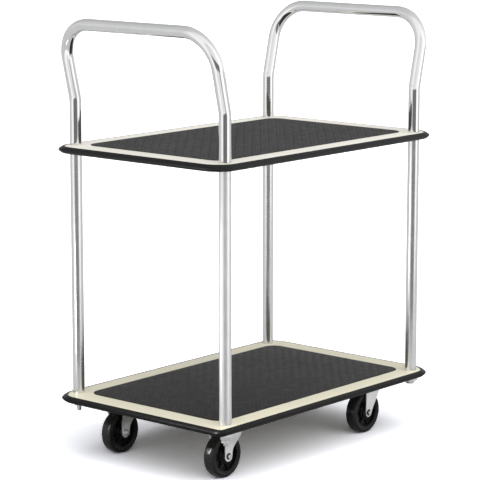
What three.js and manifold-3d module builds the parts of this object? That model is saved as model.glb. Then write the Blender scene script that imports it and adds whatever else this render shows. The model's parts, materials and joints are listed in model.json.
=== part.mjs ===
// Two-deck platform trolley with a bent-tube push handle at each end.
// Millimetres, +Z up, origin on the floor under the middle of the trolley.
// +X runs along the long side towards the fixed castors (rear), -X towards the
// swivel castors (front), +Y is the right-hand side when facing the front end.
import * as THREE from "three";
import { mergeVertices } from "three/addons/utils/BufferGeometryUtils.js";
import Module from "manifold-3d";

const wasm = await Module();
wasm.setup();

// ---------- driving dimensions ----------
const GAP = 0.3; // air between pieces that touch on the real trolley

// decks
const LOW_TOP = 143.5; // sheet top of the lower deck above the floor
const UP_TOP = 717.5; // sheet top of the upper deck above the floor
const DECK_HX = 379; // half length of the pressed sheet
const DECK_HY = 246; // half width of the pressed sheet
const DECK_R = 48; // corner radius of the sheet
const TIGHT_R = 14; // front left corner of the lower sheet, turned tighter
const SHEET = 1.5; // sheet thickness
const RIM = 12; // depth of the turned-down rim

// edge bumper
const BUMP_T = 8; // how far it stands out from the rim
const BUMP_R = 42; // outer corner radius, so the strip is thickest at the corners
const BUMP_TIGHT_R = 22;
const BUMP_TOP = 0.6; // its top edge lies this far under the sheet top
const BUMP_BOTTOM = 15.8; // its bottom edge below the sheet top
const BUMP_LIP = 4; // lip that hooks under the rim

// anti-slip mats
const MAT_HX = 330;
const MAT_HY = 201;
const MAT_R = 30;
const MAT_T = 1.8;

// hat channels welded under the decks
const HAT_H = 14.4;
const LONG_W = 64; // channel along the middle
const LONG_FLANGE = 16;
const CROSS_W = 98; // channels across, above the castors
const CROSS_FLANGE = 12;
const CROSS_HY = 229;

// posts and handles
const TUBE_R = 13.6;
const BORE_R = 12.4;
const POST_X = 337.5;
const POST_Y = 223;
const BEND_Z = 822; // where the handle legs start to lean out
const BAR_Z = 993.5; // centre of the handle bar
const LEAN = THREE.MathUtils.degToRad(13.2);
const BEND_R = 52;
const CORNER_R = 82;
const JOINER_R = 12;
const JOINER_LEN = 130;

// post feet under the lower deck
const SOCKET_R = 17.5;
const SOCKET_FLOOR = 118.5; // underside of the socket
const SOCKET_FLOOR_T = 2.5;
const STUD_R = 5.5;
const STUD_END = 98.5; // front feet
const STUD_END_REAR = 110;
const NUT_AF = 19;
const NUT_BOTTOM = 107;
const NUT_BOTTOM_REAR = 111;

// castors
const SWIVEL_X = -240; // swivel axis
const FIXED_X = 255; // middle of the fixed castor's plate
const CASTOR_Y = 156.9;
const CASTOR_TOP = 127; // overall height of a castor
const PLATE_T = 3;
const PLATE_L = 94;
const PLATE_W = 72;
const HOLE_X = 37;
const HOLE_Y = 26;
const BOLT_R = 4;
const WHEEL_R = 50;
const AXLE_Z = WHEEL_R;
const TRAIL = 32; // swivel castor: axle behind the swivel axis
const FIXED_OFFSET = 18; // fixed castor: axle off the plate's middle
const LEG_IN = 16.5; // half the clear width between the fork legs
const LEG_T = 2.5;
const WHEEL_HALF = 14;
const RIM_R = 38;
const HUB_R = 15.5;

// ---------- helpers ----------
function solid(geometry) {
  let g = geometry.index ? geometry : mergeVertices(geometry);
  g = g.clone();
  for (const name of Object.keys(g.attributes))
    if (name !== "position") g.deleteAttribute(name);
  g = mergeVertices(g, 1e-4);
  return new wasm.Manifold(
    new wasm.Mesh({
      numProp: 3,
      vertProperties: new Float32Array(g.attributes.position.array),
      triVerts: new Uint32Array(g.index.array),
    }),
  );
}
function geometryOf(manifold) {
  const m = manifold.getMesh();
  const v = new Float32Array(m.numVert * 3);
  for (let i = 0; i < m.numVert; i++)
    v.set(m.vertProperties.subarray(i * m.numProp, i * m.numProp + 3), i * 3);
  const g = new THREE.BufferGeometry();
  g.setAttribute("position", new THREE.BufferAttribute(v, 3));
  g.setIndex(new THREE.BufferAttribute(new Uint32Array(m.triVerts), 1));
  g.computeVertexNormals();
  return g;
}
// box from its lowest and highest corners
function box(x0, y0, z0, x1, y1, z1) {
  return solid(
    new THREE.BoxGeometry(x1 - x0, y1 - y0, z1 - z0).translate(
      (x0 + x1) / 2,
      (y0 + y1) / 2,
      (z0 + z1) / 2,
    ),
  );
}
// upright cylinder, or one along Y
function post(r, z0, z1, x = 0, y = 0, n = 12) {
  return solid(
    new THREE.CylinderGeometry(r, r, z1 - z0, n)
      .rotateX(Math.PI / 2)
      .translate(x, y, (z0 + z1) / 2),
  );
}
function axial(r, y0, y1, x = 0, z = 0, n = 12) {
  return solid(
    new THREE.CylinderGeometry(r, r, y1 - y0, n).translate(
      x,
      (y0 + y1) / 2,
      z,
    ),
  );
}
// tight: radius of the corner at -hx, -hy
function roundedRect(hx, hy, r, tight = r) {
  const s = new THREE.Shape();
  s.moveTo(-hx + tight, -hy);
  s.lineTo(hx - r, -hy);
  s.absarc(hx - r, -hy + r, r, -Math.PI / 2, 0, false);
  s.lineTo(hx, hy - r);
  s.absarc(hx - r, hy - r, r, 0, Math.PI / 2, false);
  s.lineTo(-hx + r, hy);
  s.absarc(-hx + r, hy - r, r, Math.PI / 2, Math.PI, false);
  s.lineTo(-hx, -hy + tight);
  s.absarc(-hx + tight, -hy + tight, tight, Math.PI, 1.5 * Math.PI, false);
  return s;
}
function slab(hx, hy, r, z0, z1, tight = r, segments = 4) {
  return solid(
    new THREE.ExtrudeGeometry(roundedRect(hx, hy, r, tight), {
      depth: z1 - z0,
      bevelEnabled: false,
      curveSegments: segments,
    }).translate(0, 0, z0),
  );
}
// slab whose outer edge is rounded over by b at top and bottom
function softSlab(hx, hy, r, z0, z1, b, tight = r, segments = 4) {
  return solid(
    new THREE.ExtrudeGeometry(roundedRect(hx - b, hy - b, r - b, tight - b), {
      depth: z1 - z0 - 2 * b,
      bevelEnabled: true,
      bevelSize: b,
      bevelThickness: b,
      bevelSegments: 1,
      curveSegments: segments,
    }).translate(0, 0, z0 + b),
  );
}
// flat plate in the XZ plane, from y0 to y1, outline given as [x, z] pairs
function legPlate(outline, y0, y1) {
  const s = new THREE.Shape(outline.map(([x, z]) => new THREE.Vector2(x, z)));
  return solid(
    new THREE.ExtrudeGeometry(s, { depth: y1 - y0, bevelEnabled: false })
      .rotateX(Math.PI / 2)
      .translate(0, y1, 0),
  );
}
function hex(af, z0, z1, x, y) {
  return post(af / Math.sqrt(3), z0, z1, x, y, 6);
}
function lathe(points, n) {
  return solid(
    new THREE.LatheGeometry(
      points.map(([r, y]) => new THREE.Vector2(r, y)),
      n,
    ),
  );
}

// ---------- materials ----------
const paint = new THREE.MeshStandardMaterial({
  color: 0xe3ddca,
  roughness: 0.42,
  metalness: 0.0,
});
const rubber = new THREE.MeshStandardMaterial({
  color: 0x2b2b2c,
  roughness: 0.75,
  metalness: 0.0,
});
const bumperMat = new THREE.MeshStandardMaterial({
  color: 0x242425,
  roughness: 0.5,
  metalness: 0.0,
});
const chrome = new THREE.MeshStandardMaterial({
  color: 0xd9dadc,
  roughness: 0.12,
  metalness: 1.0,
});
const zinc = new THREE.MeshStandardMaterial({
  color: 0xbfc1c2,
  roughness: 0.38,
  metalness: 1.0,
});
const tyreMat = new THREE.MeshStandardMaterial({
  color: 0x1b1b1c,
  roughness: 0.55,
  metalness: 0.0,
});
const nylon = new THREE.MeshStandardMaterial({
  color: 0x141415,
  roughness: 0.4,
  metalness: 0.0,
});

const trolley = new THREE.Group();
function add(name, manifold, material, parent = trolley) {
  const mesh = new THREE.Mesh(geometryOf(manifold), material);
  mesh.name = name;
  parent.add(mesh);
  return mesh;
}

const CORNERS = [
  ["front_left", -1, -1],
  ["front_right", -1, 1],
  ["rear_left", 1, -1],
  ["rear_right", 1, 1],
];

// ---------- decks, mats and bumpers ----------
for (const [level, top] of [
  ["lower", LOW_TOP],
  ["upper", UP_TOP],
]) {
  const tight = level === "lower" ? TIGHT_R : DECK_R;
  let deck = slab(DECK_HX, DECK_HY, DECK_R, top - RIM, top, tight).subtract(
    slab(
      DECK_HX - SHEET,
      DECK_HY - SHEET,
      DECK_R - SHEET,
      top - RIM - 1,
      top - SHEET,
      tight - SHEET,
    ),
  );
  const holeR = level === "lower" ? TUBE_R + GAP + 0.1 : JOINER_R + GAP;
  for (const [, sx, sy] of CORNERS)
    deck = deck.subtract(
      post(holeR, top - 5, top + 5, sx * POST_X, sy * POST_Y),
    );
  add(level + "_deck", deck, paint);

  // mat glued on the sheet
  add(
    level + "_mat",
    slab(MAT_HX, MAT_HY, MAT_R, top + GAP, top + GAP + MAT_T),
    rubber,
  );

  // moulded bumper strip, hooked round the rim
  const outer = softSlab(
    DECK_HX + BUMP_T,
    DECK_HY + BUMP_T,
    BUMP_R,
    top - BUMP_BOTTOM,
    top - BUMP_TOP,
    3,
    level === "lower" ? BUMP_TIGHT_R : BUMP_R,
  );
  const around = slab(
    DECK_HX + GAP,
    DECK_HY + GAP,
    DECK_R + GAP,
    top - RIM - GAP,
    top + 1,
    tight + GAP,
  );
  const under = slab(
    DECK_HX - BUMP_LIP,
    DECK_HY - BUMP_LIP,
    DECK_R - BUMP_LIP,
    top - BUMP_BOTTOM - 1,
    top + 1,
    tight - BUMP_LIP,
  );
  add(level + "_bumper", outer.subtract(around).subtract(under), bumperMat);

}

// hat channel open at the top, between two corners in plan
function hat(x0, x1, y0, y1, top, alongX, flange) {
  const z = top - SHEET - GAP;
  const fx = alongX ? 0 : flange;
  const fy = alongX ? flange : 0;
  const ix = alongX ? -1 : SHEET;
  const iy = alongX ? SHEET : -1;
  return box(x0, y0, z - HAT_H, x1, y1, z)
    .add(box(x0 - fx, y0 - fy, z - SHEET, x1 + fx, y1 + fy, z))
    .subtract(
      box(x0 + ix, y0 + iy, z - HAT_H + SHEET, x1 - ix, y1 - iy, z + 1),
    );
}
const STUDS = [
  [-1, -1],
  [-1, 1],
  [1, -1],
  [1, 1],
];
for (const [name, cx] of [
  ["front_cross_channel", SWIVEL_X],
  ["rear_cross_channel", FIXED_X],
]) {
  let s = hat(
    cx - CROSS_W / 2,
    cx + CROSS_W / 2,
    -CROSS_HY,
    CROSS_HY,
    LOW_TOP,
    false,
    CROSS_FLANGE,
  );
  for (const side of [-1, 1])
    for (const [a, b] of STUDS)
      s = s.subtract(
        post(
          BOLT_R + GAP + 0.2,
          CASTOR_TOP - 1,
          CASTOR_TOP + 4,
          cx + a * HOLE_X,
          side * CASTOR_Y + b * HOLE_Y,
          8,
        ),
      );
  add(name, s, paint);
}
const CROSS_REACH = CROSS_W / 2 + CROSS_FLANGE + 2;
add(
  "lower_long_channel",
  hat(
    SWIVEL_X + CROSS_REACH,
    FIXED_X - CROSS_REACH,
    -LONG_W / 2,
    LONG_W / 2,
    LOW_TOP,
    true,
    LONG_FLANGE,
  ),
  paint,
);
add(
  "upper_long_channel",
  hat(-320, 320, -LONG_W / 2, LONG_W / 2, UP_TOP, true, LONG_FLANGE),
  paint,
);

// ---------- handles: one bent tube at each end ----------
function ring(outer, inner, n) {
  const s = new THREE.Shape();
  const h = new THREE.Path();
  for (let i = 0; i < n; i++) {
    const a = (i / n) * 2 * Math.PI;
    const p = [Math.cos(a), Math.sin(a)];
    i ? s.lineTo(p[0] * outer, p[1] * outer) : s.moveTo(p[0] * outer, 0);
    i ? h.lineTo(p[0] * inner, -p[1] * inner) : h.moveTo(p[0] * inner, 0);
  }
  s.closePath();
  h.closePath();
  s.holes.push(h);
  return s;
}
// polyline with rounded corners, as points
function rounded(points, radii, steps) {
  const out = [points[0].clone()];
  for (let i = 1; i < points.length - 1; i++) {
    const p = points[i];
    const u = points[i - 1].clone().sub(p).normalize();
    const v = points[i + 1].clone().sub(p).normalize();
    const half = u.angleTo(v) / 2;
    const r = radii[i - 1];
    const a = p.clone().addScaledVector(u, r / Math.tan(half));
    const b = p.clone().addScaledVector(v, r / Math.tan(half));
    const c = p
      .clone()
      .addScaledVector(u.clone().add(v).normalize(), r / Math.sin(half));
    const e1 = a.clone().sub(c).normalize();
    const e2 = b.clone().sub(c).normalize();
    const phi = e1.angleTo(e2);
    const n = steps[i - 1];
    for (let k = 0; k <= n; k++) {
      const s = k / n;
      out.push(
        c
          .clone()
          .addScaledVector(e1, (r * Math.sin((1 - s) * phi)) / Math.sin(phi))
          .addScaledVector(e2, (r * Math.sin(s * phi)) / Math.sin(phi)),
      );
    }
  }
  out.push(points[points.length - 1].clone());
  return out;
}
const reach = (BAR_Z - BEND_Z) * Math.tan(LEAN);
function handle(sx) {
  const V = (x, y, z) => new THREE.Vector3(sx * x, y, z);
  const points = rounded(
    [
      V(POST_X, -POST_Y, UP_TOP + GAP),
      V(POST_X, -POST_Y, BEND_Z),
      V(POST_X + reach, -POST_Y, BAR_Z),
      V(POST_X + reach, POST_Y, BAR_Z),
      V(POST_X, POST_Y, BEND_Z),
      V(POST_X, POST_Y, UP_TOP + GAP),
    ],
    [BEND_R, CORNER_R, CORNER_R, BEND_R],
    [2, 5, 5, 2],
  );
  const path = new THREE.CurvePath();
  for (let i = 0; i < points.length - 1; i++)
    path.add(new THREE.LineCurve3(points[i], points[i + 1]));
  // one ring of vertices at every point of the path
  const lengths = path.getCurveLengths();
  const total = lengths[lengths.length - 1];
  const at = [0, ...lengths.map((l) => l / total)];
  const n = points.length - 1;
  const track = {
    getPoint: (t) => points[Math.round(t * n)].clone(),
    getPointAt: (t) => points[Math.round(t * n)].clone(),
    getSpacedPoints: (d) =>
      Array.from({ length: d + 1 }, (_, i) => points[i].clone()),
    getTangentAt: (t) => {
      const i = Math.round(t * n);
      const a = points[Math.max(0, i - 1)];
      const b = points[Math.min(n, i + 1)];
      const p = points[i];
      const u = i ? p.clone().sub(a).normalize() : b.clone().sub(p).normalize();
      const w = i < n ? b.clone().sub(p).normalize() : u.clone();
      return u.add(w).normalize();
    },
    length: at.length,
  };
  track.getTangent = track.getTangentAt;
  track.computeFrenetFrames = (segments, closed) =>
    THREE.Curve.prototype.computeFrenetFrames.call(track, segments, closed);
  const g = new THREE.ExtrudeGeometry(ring(TUBE_R, BORE_R, 12), {
    steps: n,
    bevelEnabled: false,
    extrudePath: track,
  });
  return solid(g);
}
add("front_handle", handle(-1), chrome);
add("rear_handle", handle(1), chrome);

// ---------- posts, joiners and feet ----------
for (const [corner, sx, sy] of CORNERS) {
  const x = sx * POST_X;
  const y = sy * POST_Y;
  const foot = SOCKET_FLOOR + SOCKET_FLOOR_T + GAP;
  add(
    corner + "_post",
    post(TUBE_R, foot, UP_TOP - SHEET - GAP, x, y).subtract(
      post(BORE_R, foot - 1, UP_TOP + 1, x, y),
    ),
    chrome,
  );
  add(
    corner + "_joiner",
    post(
      JOINER_R - 0.1,
      UP_TOP - JOINER_LEN / 2,
      UP_TOP + JOINER_LEN / 2,
      x,
      y,
    ).subtract(
      post(
        JOINER_R - 3,
        UP_TOP - JOINER_LEN / 2 - 1,
        UP_TOP + JOINER_LEN / 2 + 1,
        x,
        y,
      ),
    ),
    zinc,
  );
  const under = LOW_TOP - SHEET - GAP;
  add(
    corner + "_post_socket",
    post(SOCKET_R, SOCKET_FLOOR, under, x, y)
      .add(post(SOCKET_R + 2.9, under - 2, under, x, y))
      .subtract(
        post(TUBE_R + GAP + 0.1, SOCKET_FLOOR + SOCKET_FLOOR_T, under + 1, x, y),
      )
      .subtract(
        post(STUD_R + GAP + 0.1, SOCKET_FLOOR - 1, SOCKET_FLOOR + 5, x, y),
      ),
    zinc,
  );
  // plug in the tube, stud through the socket and the nut run up on it
  add(
    corner + "_foot_bolt",
    post(BORE_R - GAP, foot, foot + 22, x, y)
      .add(post(STUD_R, sx < 0 ? STUD_END : STUD_END_REAR, foot + 1, x, y, 8))
      .add(
        hex(
          NUT_AF,
          sx < 0 ? NUT_BOTTOM : NUT_BOTTOM_REAR,
          SOCKET_FLOOR - GAP,
          x,
          y,
        ),
      ),
    zinc,
  );
}

// ---------- castors ----------
const PLATE_TOP = CASTOR_TOP;
const PLATE_BOTTOM = PLATE_TOP - PLATE_T;
const PAD_BOTTOM = LOW_TOP - SHEET - GAP - HAT_H + SHEET + GAP;
const RACE_BOTTOM = 120.3;
const CROWN_TOP = 116.6;
const CROWN_BOTTOM = 113.8;

// strip inside the cross channel with four studs for each castor and the
// nuts run up on them
function studRail(cx) {
  let s = box(
    cx - PLATE_L / 2,
    -CASTOR_Y - PLATE_W / 2,
    PAD_BOTTOM,
    cx + PLATE_L / 2,
    CASTOR_Y + PLATE_W / 2,
    PAD_BOTTOM + 2.2,
  );
  for (const side of [-1, 1])
    for (const [a, b] of STUDS) {
      const x = cx + a * HOLE_X;
      const y = side * CASTOR_Y + b * HOLE_Y;
      s = s
        .add(post(BOLT_R, PLATE_BOTTOM - 6.3, PAD_BOTTOM + 1, x, y, 8))
        .add(hex(13, PLATE_BOTTOM - GAP - 5.2, PLATE_BOTTOM - GAP, x, y));
    }
  return s;
}
add("front_stud_rail", studRail(SWIVEL_X), zinc);
add("rear_stud_rail", studRail(FIXED_X), zinc);
function mountingPlate() {
  let s = slab(PLATE_L / 2, PLATE_W / 2, 8, PLATE_BOTTOM, PLATE_TOP, 8, 2);
  for (const [a, b] of STUDS)
    s = s.subtract(
      post(
        BOLT_R + GAP + 0.2,
        PLATE_BOTTOM - 1,
        PLATE_TOP + 1,
        a * HOLE_X,
        b * HOLE_Y,
        8,
      ),
    );
  return s;
}
// rounded end of a fork leg round the axle, as outline points
function legEnd(x, r, from, to, n = 7) {
  return Array.from({ length: n + 1 }, (_, i) => {
    const a = THREE.MathUtils.degToRad(from + ((to - from) * i) / n);
    return [x + r * Math.cos(a), AXLE_Z + r * Math.sin(a)];
  });
}
function axleHole(s, x) {
  return s.subtract(axial(BOLT_R + GAP + 0.1, -40, 40, x, AXLE_Z, 8));
}

// swivel castor pieces, drawn round the swivel axis, axle at x = -TRAIL
function swivelFork() {
  const a = -TRAIL;
  // seen from the side
  const side = [
    [29, CROWN_TOP],
    [a - 28, CROWN_TOP],
    [a - 27.2, 107],
    [a - 22.5, 96],
    [a - 16, 84],
    [a - 13, 74],
    [a - 12.5, 63],
    ...legEnd(a, 12, 175, 372),
    [a + 14.5, 62],
    [a + 20, 70],
    [a + 28, 80],
    [a + 35, 90],
    [a + 41, 101],
    [a + 50, 108],
    [29, 110],
  ];
  // seen from the front: legs spread towards the crown
  const half = [
    [LEG_IN + LEG_T, 30],
    [LEG_IN + LEG_T, 76],
    [24.5, 98],
    [28, 110],
    [27, 114.5],
    [24.5, CROWN_TOP],
  ];
  const inner = [
    [22.5, CROWN_BOTTOM],
    [25, 112],
    [25.4, 109.5],
    [22, 98],
    [LEG_IN, 77],
    [LEG_IN, 29],
  ];
  const section = new THREE.Shape(
    [
      ...half,
      ...half
        .slice()
        .reverse()
        .map(([y, z]) => [-y, z]),
      ...inner
        .slice()
        .reverse()
        .map(([y, z]) => [-y, z]),
      ...inner,
    ].map(([y, z]) => new THREE.Vector2(y, z)),
  );
  const legs = solid(
    new THREE.ExtrudeGeometry(section, { depth: 120, bevelEnabled: false })
      .rotateX(Math.PI / 2)
      .rotateZ(Math.PI / 2)
      .translate(-80, 0, 0),
  );
  // plan of the crown: round at the swivel axis, narrower ahead of it
  const plan = new THREE.Shape();
  plan.moveTo(0, -29);
  plan.absarc(0, 0, 29, -Math.PI / 2, Math.PI / 2, false);
  plan.lineTo(a - 14, 29);
  plan.absarc(a - 14, 15, 14, Math.PI / 2, Math.PI, false);
  plan.lineTo(a - 28, -15);
  plan.absarc(a - 14, -15, 14, Math.PI, 1.5 * Math.PI, false);
  const around = solid(
    new THREE.ExtrudeGeometry(plan, {
      depth: 110,
      bevelEnabled: false,
      curveSegments: 10,
    }).translate(0, 0, 20),
  );
  return axleHole(
    legs
      .intersect(legPlate(side, -40, 40))
      .intersect(around)
      .subtract(post(5.5, CROWN_BOTTOM - 1, CROWN_TOP + 1)),
    a,
  );
}
function swivelPlate() {
  return mountingPlate()
    .add(post(26, RACE_BOTTOM, PLATE_BOTTOM + 0.5, 0, 0, 20))
    .subtract(post(5.5, RACE_BOTTOM - 1, PLATE_TOP + 1))
    .subtract(post(9.6, PLATE_BOTTOM - 0.4, PLATE_TOP + 1));
}
function ballRace() {
  return post(23.5, CROWN_TOP + GAP, RACE_BOTTOM - GAP, 0, 0, 20).subtract(
    post(9, CROWN_TOP - 1, RACE_BOTTOM + 1),
  );
}
function kingPin() {
  return post(5, 105.6, PLATE_BOTTOM + 1)
    .add(post(9, PLATE_BOTTOM, PLATE_TOP - GAP))
    .add(hex(15, 107, CROWN_BOTTOM - GAP, 0, 0));
}
// fixed castor bracket, axle at x = -FIXED_OFFSET
function fixedFork() {
  const a = -FIXED_OFFSET;
  const outline = [
    [a + 44.5, PLATE_TOP - 0.5],
    [a - 8.5, PLATE_TOP - 0.5],
    [a - 9, 90],
    ...legEnd(a, 10.5, 175, 350),
    [a + 14, 56],
    [a + 31, 82],
    [a + 42, 101],
    [a + 44.5, 110],
  ];
  let s = mountingPlate();
  for (const y0 of [-LEG_IN - LEG_T, LEG_IN])
    s = s.add(legPlate(outline, y0, y0 + LEG_T));
  return axleHole(s, a);
}
// heads face outwards, nuts inwards
function axleBolt(x, out) {
  const leg = LEG_IN + LEG_T + GAP;
  const head = out > 0 ? [leg, leg + 4.5] : [-leg - 4.5, -leg];
  const shank = out > 0 ? [-leg - 7.5, leg + 1] : [-leg - 1, leg + 7.5];
  return axial(BOLT_R, ...shank, x, AXLE_Z, 8).add(
    axial(7.6, ...head, x, AXLE_Z, 6),
  );
}
function axleNut(x, out) {
  const leg = LEG_IN + LEG_T + GAP;
  const span = out > 0 ? [-leg - 6, -leg] : [leg, leg + 6];
  return axial(7.6, ...span, x, AXLE_Z, 6).subtract(
    axial(BOLT_R + GAP, -leg - 8, leg + 8, x, AXLE_Z, 8),
  );
}
function axleBush(x) {
  return axial(6.5, -LEG_IN + GAP, LEG_IN - GAP, x, AXLE_Z).subtract(
    axial(BOLT_R + GAP + 0.1, -40, 40, x, AXLE_Z, 8),
  );
}
function tyre() {
  return lathe(
    [
      [RIM_R + GAP, -WHEEL_HALF + 0.8],
      [WHEEL_R - 3.5, -WHEEL_HALF],
      [WHEEL_R, -WHEEL_HALF + 4.5],
      [WHEEL_R, WHEEL_HALF - 4.5],
      [WHEEL_R - 3.5, WHEEL_HALF],
      [RIM_R + GAP, WHEEL_HALF - 0.8],
      [RIM_R + GAP, -WHEEL_HALF + 0.8],
    ],
    32,
  );
}
function wheelCore() {
  const hub = LEG_IN - 1;
  let s = lathe(
    [
      [7, -hub],
      [HUB_R, -hub],
      [HUB_R, -3],
      [RIM_R - 4, -3],
      [RIM_R - 4, -WHEEL_HALF + 1.5],
      [RIM_R - 0.1, -WHEEL_HALF + 1.5],
      [RIM_R - 0.1, WHEEL_HALF - 1.5],
      [RIM_R - 4, WHEEL_HALF - 1.5],
      [RIM_R - 4, 3],
      [HUB_R, 3],
      [HUB_R, hub],
      [7, hub],
      [7, -hub],
    ],
    16,
  );
  for (let i = 0; i < 6; i++)
    s = s.add(
      solid(
        new THREE.BoxGeometry(RIM_R - HUB_R - 1.5, 2 * WHEEL_HALF - 7, 3)
          .translate((RIM_R + HUB_R) / 2 - 0.9, 0, 0)
          .rotateY((i * Math.PI) / 3),
      ),
    );
  return s;
}

for (const [corner, sx, sy] of CORNERS) {
  const swivel = sx < 0;
  const unit = new THREE.Group();
  unit.position.set(swivel ? SWIVEL_X : FIXED_X, sy * CASTOR_Y, 0);
  trolley.add(unit);
  const axleX = swivel ? -TRAIL : -FIXED_OFFSET;
  if (swivel) {
    add(corner + "_swivel_plate", swivelPlate(), zinc, unit);
    add(corner + "_king_pin", kingPin(), zinc, unit);
    add(corner + "_ball_race", ballRace(), zinc, unit);
    add(corner + "_swivel_fork", swivelFork(), zinc, unit);
  } else add(corner + "_fixed_fork", fixedFork(), zinc, unit);
  add(corner + "_axle_bolt", axleBolt(axleX, sy), zinc, unit);
  add(corner + "_axle_nut", axleNut(axleX, sy), zinc, unit);
  add(corner + "_axle_bush", axleBush(axleX), zinc, unit);
  const wheel = new THREE.Group();
  wheel.position.set(axleX, 0, AXLE_Z);
  unit.add(wheel);
  add(corner + "_tyre", tyre(), tyreMat, wheel);
  add(corner + "_wheel_core", wheelCore(), nylon, wheel);
}

export default trolley;
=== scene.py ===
import json
import math
import random

import bmesh
import bpy
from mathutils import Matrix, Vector

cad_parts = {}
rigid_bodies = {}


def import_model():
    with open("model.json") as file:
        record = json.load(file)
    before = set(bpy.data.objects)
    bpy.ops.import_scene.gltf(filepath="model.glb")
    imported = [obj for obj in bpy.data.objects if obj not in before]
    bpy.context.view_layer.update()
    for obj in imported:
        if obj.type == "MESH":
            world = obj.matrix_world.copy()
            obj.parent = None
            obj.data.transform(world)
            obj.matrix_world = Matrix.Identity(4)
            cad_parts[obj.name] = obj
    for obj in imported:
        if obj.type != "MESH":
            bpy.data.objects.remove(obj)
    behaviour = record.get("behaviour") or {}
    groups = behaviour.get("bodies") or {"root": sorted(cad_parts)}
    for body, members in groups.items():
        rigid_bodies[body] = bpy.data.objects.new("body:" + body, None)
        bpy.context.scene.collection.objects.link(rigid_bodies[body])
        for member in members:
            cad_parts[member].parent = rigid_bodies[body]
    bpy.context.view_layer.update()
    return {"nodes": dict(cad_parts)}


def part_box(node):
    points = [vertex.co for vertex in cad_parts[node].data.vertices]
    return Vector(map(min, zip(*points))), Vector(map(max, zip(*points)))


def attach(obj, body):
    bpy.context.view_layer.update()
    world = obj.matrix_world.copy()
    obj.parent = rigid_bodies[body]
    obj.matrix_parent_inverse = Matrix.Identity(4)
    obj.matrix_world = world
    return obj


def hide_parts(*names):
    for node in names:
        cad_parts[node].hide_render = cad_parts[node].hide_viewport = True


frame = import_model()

scene = bpy.context.scene
MM = 0.001
rng = random.Random(7)

CORNERS = {
    "front_left": (-1, -1),
    "front_right": (-1, 1),
    "rear_left": (1, -1),
    "rear_right": (1, 1),
}


def mm(v):
    return v.x * 1000, v.y * 1000, v.z * 1000


# ---------------------------------------------------------------- dimensions
deck_lo, deck_hi = (mm(v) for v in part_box("lower_deck"))
udeck_lo, udeck_hi = (mm(v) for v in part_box("upper_deck"))
LOW_TOP, UP_TOP = deck_hi[2], udeck_hi[2]
DECK_HX, DECK_HY, DECK_R = deck_hi[0], deck_hi[1], 48.0
TIGHT = {"lower": 7.0, "upper": 48.0}  # radius of the front left corner
SHEET = 1.5
RIM = LOW_TOP - deck_lo[2]
mat_lo, mat_hi = (mm(v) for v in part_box("lower_mat"))
MAT_HX, MAT_HY, MAT_R = mat_hi[0], mat_hi[1], 30.0
POST_X, POST_Y = 337.5, 223.0
TUBE_R, BORE_R = 13.6, 12.4
BEND_Z, BAR_Z = 822.0, 993.5
LEAN = math.radians(13.2)
BEND_R, CORNER_R = 52.0, 82.0
SWIVEL_X, FIXED_X, CASTOR_Y = -240.0, 255.0, 156.9
PLATE_TOP, PLATE_BOTTOM = 127.0, 124.0
AXLE_Z, WHEEL_R = 50.0, 50.0
TRAIL, FIXED_OFFSET = 32.0, 18.0
LEG_IN, LEG_T = 16.5, 2.5
CROWN_TOP, CROWN_BOTTOM = 116.6, 113.8
RACE_BOTTOM = 120.3


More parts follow.
